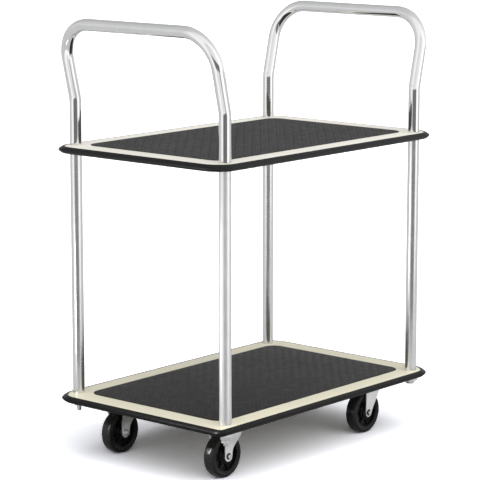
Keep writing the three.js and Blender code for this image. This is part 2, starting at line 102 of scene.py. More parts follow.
# ---------------------------------------------------------------- mesh maker
class Shape:
    """Collects vertices (millimetres) and faces, then becomes one object."""

    def __init__(self):
        self.v, self.f, self.m = [], [], []

    def put(self, verts, faces, mat=0):
        k = len(self.v)
        self.v += [tuple(p) for p in verts]
        self.f += [tuple(i + k for i in f) for f in faces]
        self.m += [mat] * len(faces)
        return self

    def rings(self, rings, around=True, loop=False, cap0=False, cap1=False, mat=0):
        n = len(rings[0])
        verts = [p for r in rings for p in r]
        faces = []
        rows = len(rings)
        for i in range(rows if loop else rows - 1):
            a, b = i * n, ((i + 1) % rows) * n
            for j in range(n if around else n - 1):
                k = (j + 1) % n
                faces.append((a + j, a + k, b + k, b + j))
        if cap0:
            faces.append(tuple(reversed(range(n))))
        if cap1:
            faces.append(tuple((rows - 1) * n + j for j in range(n)))
        return self.put(verts, faces, mat)

    def lathe(self, profile, axis="z", at=(0, 0, 0), n=48, loop=False, mat=0, turn=0.0):
        """profile: (radius, height) pairs; radius 0 at an end closes it."""
        rows = []
        for r, h in profile:
            row = []
            for k in range(n):
                a = 2 * math.pi * (k + turn) / n
                c, s = r * math.cos(a), r * math.sin(a)
                row.append(
                    (at[0] + c, at[1] + s, at[2] + h)
                    if axis == "z"
                    else (at[0] + c, at[1] + h, at[2] + s)
                )
            rows.append(row)
        return self.rings(rows, loop=loop, mat=mat)

    def prism(self, outline, plane, a0, a1, mat=0):
        """outline in plane xy, xz or yz, pushed from a0 to a1 along the third axis."""

        def at(p, h):
            if plane == "xy":
                return (p[0], p[1], h)
            if plane == "xz":
                return (p[0], h, p[1])
            return (h, p[0], p[1])

        return self.rings(
            [[at(p, a0) for p in outline], [at(p, a1) for p in outline]],
            cap0=True,
            cap1=True,
            mat=mat,
        )

    def make(self, name, mats, body, replaces=(), slot=None, angle=32, bevel=None, segments=2, merge=0.002):
        me = bpy.data.meshes.new(name)
        me.from_pydata([(x * MM, y * MM, z * MM) for x, y, z in self.v], [], self.f)
        me.polygons.foreach_set("material_index", self.m)
        bm = bmesh.new()
        bm.from_mesh(me)
        bmesh.ops.remove_doubles(bm, verts=bm.verts, dist=merge * MM)
        bmesh.ops.dissolve_degenerate(bm, edges=bm.edges, dist=1e-7)
        bmesh.ops.recalc_face_normals(bm, faces=bm.faces)
        bm.to_mesh(me)
        bm.free()
        me.polygons.foreach_set("use_smooth", [True] * len(me.polygons))
        me.set_sharp_from_angle(angle=math.radians(angle))
        ob = bpy.data.objects.new(name, me)
        scene.collection.objects.link(ob)
        for m in mats if isinstance(mats, (list, tuple)) else [mats]:
            me.materials.append(m)
        if bevel:
            b = ob.modifiers.new("edge", "BEVEL")
            b.width = bevel * MM
            b.segments = segments
            b.limit_method = "ANGLE"
            b.angle_limit = math.radians(angle)
            b.miter_outer = "MITER_ARC"
            w = ob.modifiers.new("normals", "WEIGHTED_NORMAL")
            w.keep_sharp = True
        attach(ob, body)
        if replaces:
            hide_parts(*replaces)
        return ob


def rrect(hx, hy, r, z, n=14, tight=None):
    """Rounded rectangle, anticlockwise, n steps in each corner; tight is the radius at -hx, -hy."""
    out = []
    for sx, sy, a0 in ((1, 1, 0), (-1, 1, 90), (-1, -1, 180), (1, -1, 270)):
        r1 = tight if tight is not None and a0 == 180 else r
        cx, cy = sx * (hx - r1), sy * (hy - r1)
        for i in range(n + 1):
            a = math.radians(a0 + 90 * i / n)
            out.append((cx + r1 * math.cos(a), cy + r1 * math.sin(a), z))
    return out


def arc(cx, cy, r, a0, a1, n):
    return [
        (
            cx + r * math.cos(math.radians(a0 + (a1 - a0) * i / n)),
            cy + r * math.sin(math.radians(a0 + (a1 - a0) * i / n)),
        )
        for i in range(n + 1)
    ]


def smooth_path(points, radii, step):
    """Polyline through points with its corners rounded."""
    pts = [Vector(p) for p in points]
    out = [pts[0]]
    for i in range(1, len(pts) - 1):
        u = (pts[i - 1] - pts[i]).normalized()
        v = (pts[i + 1] - pts[i]).normalized()
        r, half = radii[i - 1], u.angle(v) / 2
        a = pts[i] + u * (r / math.tan(half))
        b = pts[i] + v * (r / math.tan(half))
        c = pts[i] + (u + v).normalized() * (r / math.sin(half))
        e1, e2 = (a - c).normalized(), (b - c).normalized()
        phi = e1.angle(e2)
        n = max(3, int(phi * r / step))
        for k in range(n + 1):
            s = k / n
            out.append(
                c
                + e1 * (r * math.sin((1 - s) * phi) / math.sin(phi))
                + e2 * (r * math.sin(s * phi) / math.sin(phi))
            )
    out.append(pts[-1])
    return out


def tube_rings(path, profile, n):
    """Rings round a path. profile: one radius, used for every ring."""
    rings = []
    tangent = (path[1] - path[0]).normalized()
    side = tangent.orthogonal().normalized()
    for i, p in enumerate(path):
        t = (path[min(i + 1, len(path) - 1)] - path[max(i - 1, 0)]).normalized()
        side = (side - t * side.dot(t)).normalized()
        up = t.cross(side)
        rings.append(
            [
                tuple(
                    p
                    + (side * math.cos(2 * math.pi * k / n) + up * math.sin(2 * math.pi * k / n))
                    * profile
                )
                for k in range(n)
            ]
        )
    return rings


# ---------------------------------------------------------------- materials
class Nodes:
    def __init__(self, name):
        self.mat = bpy.data.materials.new(name)
        self.mat.use_nodes = True
        self.t = self.mat.node_tree
        self.t.nodes.clear()
        self.out = self.new("ShaderNodeOutputMaterial")
        self.b = self.new("ShaderNodeBsdfPrincipled")
        self.link(self.b.outputs[0], self.out.inputs[0])
        self.co = self.new("ShaderNodeTexCoord").outputs["Object"]

    def new(self, kind, **values):
        n = self.t.nodes.new(kind)
        for k, v in values.items():
            if hasattr(n, k):
                setattr(n, k, v)
            else:
                n.inputs[k].default_value = v
        return n

    def link(self, a, b):
        self.t.links.new(a, b)

    def noise(self, scale, detail=2.0, rough=0.5, stretch=None, seed=0.0):
        n = self.new("ShaderNodeTexNoise")
        n.inputs["Scale"].default_value = scale
        n.inputs["Detail"].default_value = detail
        n.inputs["Roughness"].default_value = rough
        m = self.new("ShaderNodeMapping")
        if stretch:
            m.inputs["Scale"].default_value = stretch
        m.inputs["Location"].default_value = (seed, seed * 0.7, seed * 1.3)
        self.link(self.co, m.inputs["Vector"])
        self.link(m.outputs[0], n.inputs["Vector"])
        return n.outputs["Fac"] if "Fac" in n.outputs else n.outputs[0]

    def span(self, value, a0, a1, b0, b1):
        n = self.new("ShaderNodeMapRange")
        n.inputs["From Min"].default_value = a0
        n.inputs["From Max"].default_value = a1
        n.inputs["To Min"].default_value = b0
        n.inputs["To Max"].default_value = b1
        self.link(value, n.inputs["Value"])
        return n.outputs["Result"]

    def math(self, op, a, b=None):
        n = self.new("ShaderNodeMath", operation=op)
        for i, v in enumerate((a, b)):
            if v is None:
                continue
            if isinstance(v, (int, float)):
                n.inputs[i].default_value = v
            else:
                self.link(v, n.inputs[i])
        return n.outputs[0]

    def mix(self, fac, a, b):
        n = self.new("ShaderNodeMix", data_type="RGBA")
        if isinstance(fac, (int, float)):
            n.inputs[0].default_value = fac
        else:
            self.link(fac, n.inputs[0])
        for socket, v in ((n.inputs[6], a), (n.inputs[7], b)):
            if isinstance(v, tuple):
                socket.default_value = (*v, 1.0)
            else:
                self.link(v, socket)
        return n.outputs[2]

    def set(self, name, value):
        s = self.b.inputs[name]
        if isinstance(value, tuple):
            s.default_value = (*value, 1.0) if len(value) == 3 else value
        elif isinstance(value, (int, float)):
            s.default_value = value
        else:
            self.link(value, s)
        return self

    def bump(self, height, strength, distance):
        n = self.new("ShaderNodeBump")
        n.inputs["Strength"].default_value = strength
        n.inputs["Distance"].default_value = distance
        self.link(height, n.inputs["Height"])
        self.link(n.outputs[0], self.b.inputs["Normal"])
        return self


def ivory_paint(name="ivory_powder_coat", pale=(0.795, 0.770, 0.680)):
    k = Nodes(name)
    cloud = k.noise(9.0, 4.0, 0.6)
    fine = k.noise(420.0, 3.0, 0.55, seed=3.1)
    c = k.mix(k.span(cloud, 0.35, 0.65, 0.0, 1.0), pale, tuple(v * 1.04 for v in pale))
    specks = k.noise(150.0, 2.0, 0.5, seed=8.0)
    c = k.mix(k.span(specks, 0.68, 0.80, 0.0, 0.35), c, (0.52, 0.49, 0.40))
    k.set("Base Color", c)
    k.set("Roughness", k.span(cloud, 0.3, 0.7, 0.34, 0.46))
    k.set("Coat Weight", 0.25).set("Coat Roughness", 0.25)
    return k.bump(fine, 0.16, 0.0004).mat


def mat_rubber(name, tone, painted_sheen_drift):
    """The last argument sets a painted sheen and shade across the mat: darker on the near side, lighter on the far
    side.
    """
    k = Nodes(name)
    broad = k.noise(6.0, 5.0, 0.62)
    grain = k.noise(1100.0, 3.0, 0.6, seed=2.0)
    dust = k.noise(45.0, 4.0, 0.65, seed=5.0)
    c = k.mix(k.span(broad, 0.35, 0.7, 0.0, 1.0), (0.026, 0.026, 0.027), (0.034, 0.034, 0.035))
    # painted sheen and shade: the colour is scaled darker towards the camera and lighter away from it
    across = k.new("ShaderNodeVectorMath", operation="DOT_PRODUCT")
    k.link(k.co, across.inputs[0])
    across.inputs[1].default_value = (0.756, 0.655, 0.0)
    gain = k.span(across.outputs["Value"], -0.34, 0.34, tone * (1 - painted_sheen_drift), tone * (1 + painted_sheen_drift))
    painted_sheen = k.new("ShaderNodeVectorMath", operation="SCALE")
    k.link(c, painted_sheen.inputs[0])
    k.link(gain, painted_sheen.inputs["Scale"])
    c = painted_sheen.outputs[0]
    c = k.mix(k.span(dust, 0.56, 0.80, 0.0, 0.30), c, (0.085, 0.082, 0.078))
    k.set("Base Color", c)
    k.set("Roughness", k.span(dust, 0.3, 0.75, 0.48, 0.66))
    k.set("Specular IOR Level", 0.18)
    return k.bump(grain, 0.25, 0.0003).mat


def bumper_rubber(level, sheen):
    k = Nodes("bumper_rubber_" + level)
    streak = k.noise(16.0, 4.0, 0.6, stretch=(1.0, 1.0, 26.0))
    grain = k.noise(700.0, 2.0, 0.5, seed=4.0)
    scuff = k.noise(70.0, 5.0, 0.7, seed=9.0)
    c = k.mix(k.span(streak, 0.3, 0.7, 0.0, 1.0), (0.010, 0.010, 0.011), (0.015, 0.015, 0.016))
    c = k.mix(k.span(scuff, 0.63, 0.80, 0.0, 0.35), c, (0.060, 0.058, 0.056))
    # faces that look upwards turn near black: painted shade along the top of the strip, with a higher specular level
    # there
    face = k.new("ShaderNodeSeparateXYZ")
    k.link(k.new("ShaderNodeNewGeometry").outputs["Normal"], face.inputs[0])
    painted_top_shade = k.math("MAXIMUM", 0.0, k.math("MINIMUM", 1.0, k.span(face.outputs["Z"], 0.18, 0.55, 0.0, 1.0)))
    c = k.mix(painted_top_shade, c, (0.008, 0.008, 0.0085))
    k.set("Base Color", c)
    k.set("Specular IOR Level", k.span(painted_top_shade, 0.0, 1.0, sheen, 0.16))
    k.set("Roughness", k.span(scuff, 0.3, 0.75, 0.26, 0.46))
    return k.bump(grain, 0.12, 0.0003).mat


def chrome(name="chrome_plate", rough=0.055):
    k = Nodes(name)
    haze = k.noise(22.0, 4.0, 0.6)
    hair = k.noise(60.0, 3.0, 0.6, stretch=(9.0, 9.0, 0.6), seed=6.0)
    tone = k.mix(k.span(haze, 0.3, 0.7, 0.0, 1.0), (0.735, 0.738, 0.745), (0.785, 0.788, 0.795))
    k.set("Base Color", tone).set("Metallic", 1.0)
    k.set("Roughness", k.math("ADD", k.span(haze, 0.3, 0.8, rough, rough + 0.05), k.span(hair, 0.55, 0.8, 0.0, 0.06)))
    return k.bump(hair, 0.02, 0.0002).mat


def zinc(name="zinc_plate", tone=0.60, rough=0.36):
    k = Nodes(name)
    v = k.new("ShaderNodeTexVoronoi")
    v.inputs["Scale"].default_value = 240.0
    k.link(k.co, v.inputs["Vector"])
    cloud = k.noise(38.0, 5.0, 0.65, seed=1.0)
    grain = k.noise(900.0, 2.0, 0.5, seed=2.0)
    g = k.math("ADD", k.math("MULTIPLY", v.outputs["Distance"], 0.22), cloud)
    c = k.mix(k.span(g, 0.35, 0.85, 0.0, 1.0), (tone * 0.93, tone * 0.94, tone * 0.95), (tone * 1.08, tone * 1.08, tone * 1.07))
    k.set("Base Color", c).set("Metallic", 0.88)
    k.set("Roughness", k.span(g, 0.3, 0.9, rough - 0.06, rough + 0.10))
    return k.bump(grain, 0.10, 0.0002).mat


def tyre_rubber(name="tyre_rubber", tone=1.0, rough=0.36, spec=0.24):
    k = Nodes(name)
    cloud = k.noise(34.0, 5.0, 0.65)
    grain = k.noise(800.0, 3.0, 0.6, seed=3.0)
    c = k.mix(k.span(cloud, 0.32, 0.7, 0.0, 1.0), tuple(v * tone for v in (0.012, 0.012, 0.013)), tuple(v * tone for v in (0.022, 0.022, 0.023)))
    dust = k.noise(120.0, 4.0, 0.7, seed=7.0)
    c = k.mix(k.span(dust, 0.60, 0.82, 0.0, 0.30 * tone), c, (0.070, 0.067, 0.062))
    k.set("Base Color", c)
    k.set("Specular IOR Level", spec)
    k.set("Roughness", k.span(cloud, 0.3, 0.7, rough, rough + 0.08))
    return k.bump(grain, 0.16, 0.0003).mat


def core_plastic():
    k = Nodes("core_plastic")
    cloud = k.noise(50.0, 4.0, 0.6)
    grain = k.noise(1300.0, 2.0, 0.5, seed=5.0)
    k.set("Base Color", k.mix(k.span(cloud, 0.3, 0.7, 0.0, 1.0), (0.004, 0.004, 0.0045), (0.008, 0.008, 0.0085)))
    k.set("Specular IOR Level", 0.20)
    k.set("Roughness", k.span(cloud, 0.3, 0.7, 0.22, 0.36))
    return k.bump(grain, 0.14, 0.0002).mat


SATIN = chrome("satin_chrome", 0.19)
SOFT = chrome("soft_chrome", 0.34)
PAINT = ivory_paint()
# yellower copy of the ivory paint for the lower deck: painted shade and bounce light from under the upper deck
LOWER_PAINT_PAINTED_SHADE = ivory_paint("ivory_powder_coat_lower_painted_shade", (0.800, 0.758, 0.575))
BUMPER = {"lower": bumper_rubber("lower", 0.07), "upper": bumper_rubber("upper", 0.22)}
# Base rubber, then two lighter copies for the raised lozenges, one for each direction: painted sheen on the lozenges.
MAT_RUBBER = {
    # the second number of each lower mat sets its painted sheen and shade gradient
    "lower": [mat_rubber("mat_rubber_lower", 0.66, 0.62), mat_rubber("mat_lozenges_painted_sheen_lower", 2.35, 0.66), mat_rubber("mat_cross_lozenges_painted_sheen_lower", 1.0, 0.66)],
    "upper": [mat_rubber("mat_rubber_upper", 0.48, 0.0), mat_rubber("mat_lozenges_painted_sheen_upper", 1.90, 0.0), mat_rubber("mat_cross_lozenges_painted_sheen_upper", 0.74, 0.0)],
}
CHROME, ZINC, BOLT = chrome(), zinc(tone=0.84), zinc("bright_zinc", 0.66, 0.28)
SHADED_ZINC = zinc("zinc_plate_shaded", 0.10, 0.5)
TYRE, CORE = tyre_rubber(rough=0.11, spec=0.36), core_plastic()
# darker copy of the tyre rubber for the flat sidewalls: painted shade on the sides of the tyre
WALL_PAINTED_SHADE = tyre_rubber("tyre_wall_painted_shade", 0.4, 0.26)


# ---------------------------------------------------------------- decks
def deck(level, top):
    r = 3.2
    prof = [(-14, 0), (-5.0, 0), (-r, 0)]
    prof += [
        (-r + r * math.sin(math.radians(a)), -r + r * math.cos(math.radians(a)))
        for a in (15, 30, 45, 60, 75, 90)
    ]
    prof += [(0, -RIM + 0.6), (-0.3, -RIM + 0.1), (-0.75, -RIM), (-1.2, -RIM + 0.1), (-SHEET, -RIM + 0.6)]
    prof += [(-SHEET, -r)]
    prof += [
        (-r + (r - SHEET) * math.sin(math.radians(a)), -r + (r - SHEET) * math.cos(math.radians(a)))
        for a in (67.5, 45, 22.5, 0)
    ]
    prof += [(-14, -SHEET)]
    s = Shape()
    s.rings(
        [
            rrect(DECK_HX + o, DECK_HY + o, DECK_R + o, top + z, tight=max(TIGHT[level] + o, 1.0))
            for o, z in prof
        ],
        cap0=True,
        cap1=True,
    )
    return s.make(level + "_deck_sheet", LOWER_PAINT_PAINTED_SHADE if level == "lower" else PAINT, "frame", [level + "_deck"], "deck_paint", angle=50)


def mat(level, top):
    """Rubber mat with a rounded edge and raised lozenges in alternate directions."""
    base = 1.25
    s = Shape()
    prof = [(-6, base), (-1.2, base), (-0.55, base - 0.15), (-0.15, base - 0.5), (0, base - 0.9), (0, 0.02), (-6, 0.02)]
    s.rings(
        [rrect(MAT_HX + o, MAT_HY + o, MAT_R + o, top + z, 10) for o, z in prof],
        cap0=True,
        cap1=True,
    )
    pitch_x, pitch_y, length, width, high = 14.6, 12.4, 10.8, 3.9, 1.1
    lens = []
    for k in range(12):
        a = 2 * math.pi * k / 12
        c, q = math.cos(a), math.sin(a)
        x = math.copysign(abs(c) ** 0.9, c) * length / 2
        y = math.copysign(abs(q) ** 1.25, q) * width / 2 * (1 - 0.25 * abs(c) ** 2)
        lens.append((x, y))
    nx, ny = int((MAT_HX - 9) / pitch_x), int((MAT_HY - 9) / pitch_y)
    for i in range(-nx, nx + 1):
        for j in range(-ny, ny + 1):
            x, y = i * pitch_x, j * pitch_y
            dx, dy = abs(x) - (MAT_HX - MAT_R), abs(y) - (MAT_HY - MAT_R)
            if dx > 0 and dy > 0 and math.hypot(dx, dy) > MAT_R - 9:
                continue
            a = math.radians(45 if (i + j) % 2 else -45)
            c, q = math.cos(a), math.sin(a)
            rows = []
            for scale, z in ((1.0, base - 0.05), (0.84, base + high * 0.62), (0.52, base + high)):
                rows.append(
                    [
                        (x + (c * u - q * v) * (scale if scale == 1 else 1 - (1 - scale) * 0.6) , y + (q * u + c * v) * (scale if scale == 1 else 1 - (1 - scale) * 0.6), top + z)
                        for u, v in [(u * (1 if scale == 1 else 0.94 if scale > 0.8 else 0.8), v * scale) for u, v in lens]
                    ]
                )
            # each lozenge direction takes its own lighter copy of the rubber: painted sheen
            s.rings(rows, cap1=True, mat=1 + (i + j) % 2)
    return s.make(level + "_tread_mat", MAT_RUBBER[level], "frame", [level + "_mat"], "mat_rubber", angle=40)


def bumper(level, top):
    prof = [
        (0.25, -1.4), (0.3, -0.5), (0.7, -0.05), (1.4, 0.0), (2.2, -0.3), (2.9, -0.95), (3.3, -1.6),
        (3.6, -2.0), (4.1, -2.1), (4.8, -2.5), (5.8, -3.6), (6.8, -5.0), (7.55, -6.4), (7.95, -7.8),
        (7.9, -9.0), (7.4, -10.2), (6.5, -11.7), (5.4, -13.2), (4.1, -14.6), (2.7, -15.5), (1.4, -15.8),
        (-2.2, -15.8), (-3.5, -15.5), (-4.0, -14.8), (-4.0, -13.4), (-3.6, -12.5), (0.3, -12.4),
    ]
    s = Shape()
    rings = []
    for o, z in prof:
        grow = min(max((o - 0.5) / 7.4, 0.0), 1.0) ** 0.8
        rings.append(
            rrect(
                DECK_HX + o, DECK_HY + o, DECK_R + o + (42 - DECK_R - 8) * grow, top + z, 18,
                tight=TIGHT[level] + o + (22 - TIGHT["lower"] - 8 if level == "lower" else 42 - DECK_R - 8) * grow,
            )
        )
    s.rings(rings, loop=True)
    return s.make(level + "_edge_bumper", BUMPER[level], "frame", [level + "_bumper"], "bumper_rubber", angle=60)


for level, top in (("lower", LOW_TOP), ("upper", UP_TOP)):
    deck(level, top)
    mat(level, top)
    bumper(level, top)

# ---------------------------------------------------------------- tubes
def tube(name, path, replaces, mat=None):
    s = Shape()
    n = 48
    a, b = (path[1] - path[0]).normalized(), (path[-1] - path[-2]).normalized()
    path = [path[0], path[0] + a * 0.9, path[0] + a * 2.0] + list(path[1:-1]) + [path[-1] - b * 2.0, path[-1] - b * 0.9, path[-1]]
    outer = tube_rings(path, TUBE_R, n)
    inner = tube_rings(path, BORE_R, n)
    # small rolled edge at each end of the tube
    first, last = tube_rings(path, TUBE_R - 0.35, n)[0], tube_rings(path, TUBE_R - 0.35, n)[-1]
    t0 = (path[1] - path[0]).normalized() * 0.35
    t1 = (path[-1] - path[-2]).normalized() * 0.35
    outer[0] = [tuple(Vector(p) + t0) for p in outer[0]]
    outer[-1] = [tuple(Vector(p) - t1) for p in outer[-1]]
    s.rings([first] + outer + [last] + list(reversed(inner)), loop=True)
    return s.make(name, mat or CHROME, "frame", replaces, "chrome_tube", angle=50)


reach = (BAR_Z - BEND_Z) * math.tan(LEAN)
for end, sx in (("front", -1), ("rear", 1)):
    z0 = UP_TOP + 0.3
    path = smooth_path(
        [
            (sx * POST_X, -POST_Y, z0),
            (sx * POST_X, -POST_Y, BEND_Z),
            (sx * (POST_X + reach), -POST_Y, BAR_Z),
            (sx * (POST_X + reach), POST_Y, BAR_Z),
            (sx * POST_X, POST_Y, BEND_Z),
            (sx * POST_X, POST_Y, z0),
        ],
        [BEND_R, CORNER_R, CORNER_R, BEND_R],
        2.5,
    )
    tube(end + "_bent_handle", path, [end + "_handle"])

for corner, (sx, sy) in CORNERS.items():
    lo, hi = (mm(v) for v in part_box(corner + "_post"))
    x, y = sx * POST_X, sy * POST_Y
    tube(
        corner + "_chromed_post",
        [Vector((x, y, z)) for z in (lo[2], lo[2] + 5, hi[2] - 5, hi[2] + 1.2)],
        [corner + "_post"],
        SOFT if corner == "front_left" else SATIN,
    )

# ---------------------------------------------------------------- hardware
def hexagon(s, af, z0, z1, x, y, axis="z", hole=0.0, chamfer=1.0, dome=0.0, turn=0.0):
    """Hexagon with chamfered corners; z0, z1 are along the axis."""
    R = af / math.sqrt(3)
    n = 36

    def row(k_round, h, r_in):
        out = []
        for k in range(n):
            a = 2 * math.pi * (k + turn * n / 6) / n
            b = (a - 2 * math.pi * turn / 6) % (math.pi / 3) - math.pi / 6
            flat = (af / 2) / math.cos(b)
            r = min(flat, r_in) if k_round else flat
            c, q = r * math.cos(a), r * math.sin(a)
            out.append((x + c, y + q, h) if axis == "z" else (x + c, h, y + q))
        return out

    up = 1 if z1 > z0 else -1
    ch = chamfer * up
    rows = [
        row(True, z0, af / 2 * 1.0),
        row(True, z0 + ch * 0.5, (af / 2 + R) / 2),
        row(False, z0 + ch, R),
        row(False, z1 - ch, R),
        row(True, z1 - ch * 0.5, (af / 2 + R) / 2),
        row(True, z1, af / 2 * 0.98),
    ]
    s.rings(rows, cap0=True, cap1=True)


def thread(s, r, z0, z1, x, y, axis="z", pitch=1.25):
    """Threaded end: fine grooves and a chamfered tip at z1."""
    up = 1 if z1 > z0 else -1
    n = max(2, int(abs(z1 - z0) / pitch))
    p = [(0.0, z0), (r, z0)]
    for i in range(n):
        h = z0 + up * (i + 0.25) * pitch
        p += [(r, h), (r - 0.55, h + up * pitch * 0.5)]
    p += [(r, z1 - up * 1.0), (r - 1.0, z1), (0.0, z1)]
    s.lathe([(a, b) for a, b in p], axis, (x, y, 0) if axis == "z" else (x, 0, y), 24)


for corner, (sx, sy) in CORNERS.items():
    x, y = sx * POST_X, sy * POST_Y
    under = LOW_TOP - SHEET - 0.3
    # cup that holds the foot of the post
    s = Shape()
    s.lathe(
        [
            (5.9, 118.5), (14.2, 118.5), (16.2, 118.9), (17.2, 120.0), (17.5, 121.6), (17.5, under - 3.2),
            (17.8, under - 2.5), (18.5, under - 2.05), (19.8, under - 1.9), (20.3, under - 1.5), (20.4, under),
            (14.4, under), (14.4, 121.2), (5.9, 121.0),
        ],
        at=(x, y, 0),
        n=48,
        loop=True,
    )
    s.make(corner + "_foot_cup", ZINC, "frame", [corner + "_post_socket"], "zinc_plated_steel", angle=40)
    s = Shape()
    nut_end, stud_end = (109.6, 102.6) if sx < 0 else (111.0, 110.0)
    if corner == "front_left":
        stud_end = 96.0
        hexagon(s, 19.0, 109.4, 103.6, x, y, chamfer=1.0, turn=0.75)
    if corner == "front_right":
        nut_end, stud_end = 113.4, 101.6
    thread(s, 5.0, 117.5, stud_end, x, y)
    s.lathe([(0, 118.2), (11.4, 118.2), (12.0, 117.9), (12.0, 116.9), (11.4, 116.6), (0, 116.6)], at=(x, y, 0), n=40)
    hexagon(s, 19.0, 116.6, nut_end, x, y, chamfer=1.1, turn=0.3)
    s.lathe([(0, 143.0), (11.9, 143.0), (11.9, 121.4), (5.4, 121.2), (5.4, 116.0), (0, 116.0)], at=(x, y, 0), n=40)
    s.make(corner + "_foot_stud_and_nut", BOLT, "frame", [corner + "_foot_bolt"], "zinc_plated_steel", angle=32)


# ---------------------------------------------------------------- castors
def plate(s, cx, cy, z0, z1, hx=47.0, hy=36.0, r=9.0):
    b = 0.5
    s.rings(
        [
            [(cx + px, cy + py, z) for px, py, z in rrect(hx + o, hy + o, r + o, zz, 6)]
            for o, zz in ((-b, z0), (0, z0 + b), (0, z1 - b), (-b, z1))
        ],
        cap0=True,
        cap1=True,
    )


def spline(points, z):
    """Piecewise-linear value of x at height z; points (x, z) with z falling or rising."""
    pts = sorted(points, key=lambda p: p[1])
    if z <= pts[0][1]:
        return pts[0][0]
    for (x0, z0), (x1, z1) in zip(pts, pts[1:]):
        if z <= z1:
            t = (z - z0) / (z1 - z0)
            return x0 + (x1 - x0) * t
    return pts[-1][0]


def catmull(points, z):
    """Smooth x at height z through (x, z) points, clamped at the ends."""
    pts = sorted(points, key=lambda p: p[1])
    if z <= pts[0][1]:
        return pts[0][0]
    if z >= pts[-1][1]:
        return pts[-1][0]
    for i in range(len(pts) - 1):
        (x0, z0), (x1, z1) = pts[i], pts[i + 1]
        if z <= z1:
            m0 = (x1 - pts[i - 1][0]) / (z1 - pts[i - 1][1]) if i else (x1 - x0) / (z1 - z0)
            m1 = (pts[i + 2][0] - x0) / (pts[i + 2][1] - z0) if i + 2 < len(pts) else (x1 - x0) / (z1 - z0)
            h = z1 - z0
            t = (z - z0) / h
            return (
                (2 * t**3 - 3 * t**2 + 1) * x0
                + (t**3 - 2 * t**2 + t) * h * m0
                + (-2 * t**3 + 3 * t**2) * x1
                + (t**3 - t**2) * h * m1
            )


def swivel_fork(name, cx, cy, body, replaces):
    a = -TRAIL
    END_R = 12.0
    front = [(a - 12.0, 50), (a - 12.1, 63), (a - 12.4, 74), (a - 13.2, 84), (a - 15.5, 94), (a - 19.5, 102), (a - 23.5, 109), (a - 24.5, 116.6)]
    rear = [(a + 12.0, 50), (a + 13.6, 62), (a + 18.5, 70), (a + 26, 80), (a + 31.5, 90), (a + 34.5, 101), (a + 37.5, 107.5), (a + 45, 111.5), (a + 61, 114.5)]
    # section from one leg's foot over the crown to the other's, outer surface (y, z)
    half = []
    for k in range(1, 11):  # rounded foot
        half.append((LEG_IN + LEG_T, AXLE_Z - END_R * math.cos(math.radians(9 * k))))
    half = [(LEG_IN + LEG_T, AXLE_Z - END_R * math.cos(math.radians(f))) for f in (4, 14, 24, 36, 48, 60, 72, 84, 90)]
    up = [(19.0, 56), (19.0, 63), (19.1, 70), (19.9, 76), (21.6, 82), (23.6, 88), (25.6, 94), (27.2, 100), (28.2, 105), (28.8, 109), (28.7, 112), (28.0, 114.4), (26.6, 115.9), (24.4, 116.6), (20, 116.6), (15, 116.6), (10, 116.6), (5, 116.6)]
    half += up
    section = half + [(0, 116.6)] + [(-y, z) for y, z in reversed(half)]
    m = len(section)
    outer, inner = [], []
    NX = 24
    for i, (y, z) in enumerate(section):
        (y0, z0), (y1, z1) = section[max(i - 1, 0)], section[min(i + 1, m - 1)]
        ty, tz = y1 - y0, z1 - z0
        L = math.hypot(ty, tz) or 1
        ny, nz = ty / L, tz / L
        # inward normal: turn the tangent left (section runs +y foot -> crown -> -y foot)
        iy, iz = -nz, ny
        if z < AXLE_Z:
            h = math.sqrt(max(END_R**2 - (z - AXLE_Z) ** 2, 0))
            xf, xr = a - h, a + h
        else:
            xf, xr = catmull(front, z), catmull(rear, z)
            plan = math.sqrt(max(29.0**2 - y * y, 0))
            xr = min(xr, plan)
            q = abs(y) - 20.5
            corner = (a - 15.5) - math.sqrt(max(9.0**2 - max(q, 0) ** 2, 0))
            xf = max(xf, corner)
        thick = LEG_T
        ro, ri = [], []
        for k in range(NX + 1):
            x = xf + (xr - xf) * k / NX
            ro.append((cx + x, cy + y, z))
            ri.append((cx + x, cy + y + iy * thick, z + iz * thick))
        outer.append(ro)
        inner.append(ri)
    s = Shape()
    n = NX + 1
    verts = [p for r in outer for p in r] + [p for r in inner for p in r]
    off = m * n
    faces = []
    for i in range(m - 1):
        for k in range(NX):
            p = i * n + k
            faces.append((p, p + 1, p + n + 1, p + n))
            faces.append((off + p, off + p + n, off + p + n + 1, off + p + 1))
    for i in range(m - 1):  # front and rear edges
        p = i * n
        faces.append((p, p + n, off + p + n, off + p))
        p = i * n + NX
        faces.append((p, off + p, off + p + n, p + n))
    for k in range(NX):  # foot edges
        faces.append((k, off + k, off + k + 1, k + 1))
        p = (m - 1) * n + k
        faces.append((p, p + 1, off + p + 1, off + p))
    s.put(verts, faces)
    # lower race pressed into the crown
    s.lathe(
        [(7, 116.5), (21.0, 116.5), (23.2, 116.9), (24.2, 117.6), (24.6, 118.4), (23.9, 118.5), (22.8, 117.8), (20.5, 117.2), (7, 117.2)],
        at=(cx, cy, 0), n=56, loop=True,
    )
    return s.make(name, ZINC, body, replaces, "zinc_plated_steel", angle=46, bevel=0.45, segments=2)


